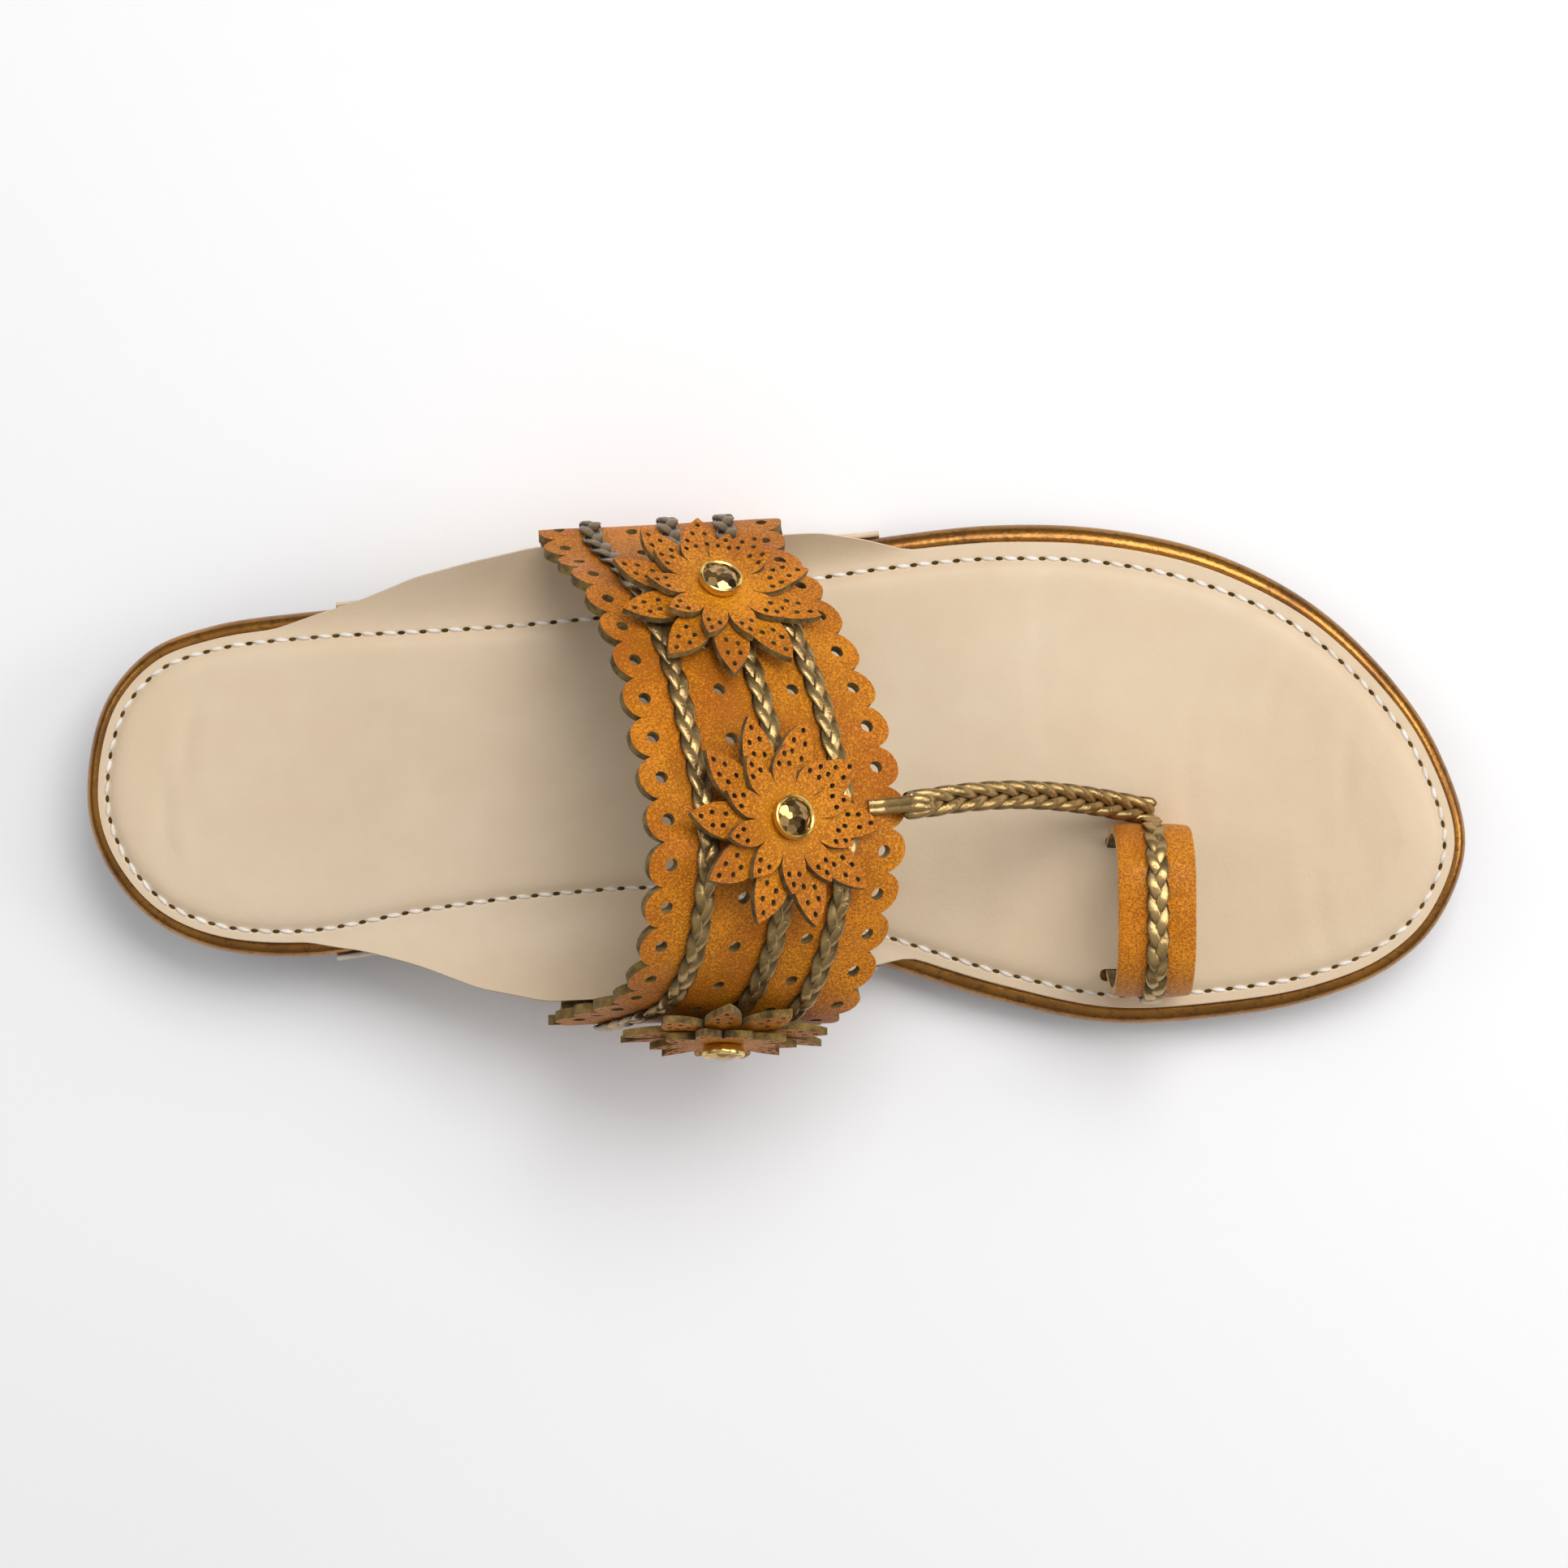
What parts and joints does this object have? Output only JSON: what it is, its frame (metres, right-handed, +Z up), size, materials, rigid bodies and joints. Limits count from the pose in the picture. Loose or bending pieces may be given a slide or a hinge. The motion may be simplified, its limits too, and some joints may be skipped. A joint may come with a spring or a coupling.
{
  "type": "kolhapuri sandal",
  "caption": "Left flat slip-on sandal: scalloped leather instep band with braids and leather flowers, braided cord to a toe ring, padded insole, rolled sole edge, low heel.",
  "frame": {"origin": "on the floor under the middle of the sole's length and of the shoe's width", "axes": "+X to the toe, +Y to the outer (little toe) side, +Z up"},
  "size_m": [0.25, 0.0978, 0.0704],
  "materials": {
    "rubber": "dark brown moulded rubber, matte",
    "bronze_leather": "bronze metallic coated leather, satin, lightly scuffed",
    "beige_lining": "beige coated lining, fine grain, soft satin",
    "tan_leather": "orange tan crackle leather with dark raw edges",
    "foil_braid": "antique gold foil leather strips, glossy, worn brown in the folds",
    "brass": "pale polished brass",
    "smoke_stone": "faceted smoky champagne glass"
  },
  "bodies": {
    "root": {"heel": "rubber", "outsole": "rubber", "midsole": "bronze_leather", "insole": "beige_lining", "wing_outer": "beige_lining", "wing_inner": "beige_lining", "upper": "tan_leather", "braid_rear": "foil_braid", "braid_middle": "foil_braid", "braid_front": "foil_braid", "flower_lower_outer": "tan_leather", "flower_upper_outer": "tan_leather", "bezel_outer": "brass", "stone_outer": "smoke_stone", "flower_lower_middle": "tan_leather", "flower_upper_middle": "tan_leather", "bezel_middle": "brass", "stone_middle": "smoke_stone", "flower_lower_inner": "tan_leather", "flower_upper_inner": "tan_leather", "bezel_inner": "brass", "stone_inner": "smoke_stone", "toe_loop": "foil_braid", "toe_cord": "foil_braid", "toe_ring": "tan_leather", "ring_braid": "foil_braid"}
  },
  "joints": []
}
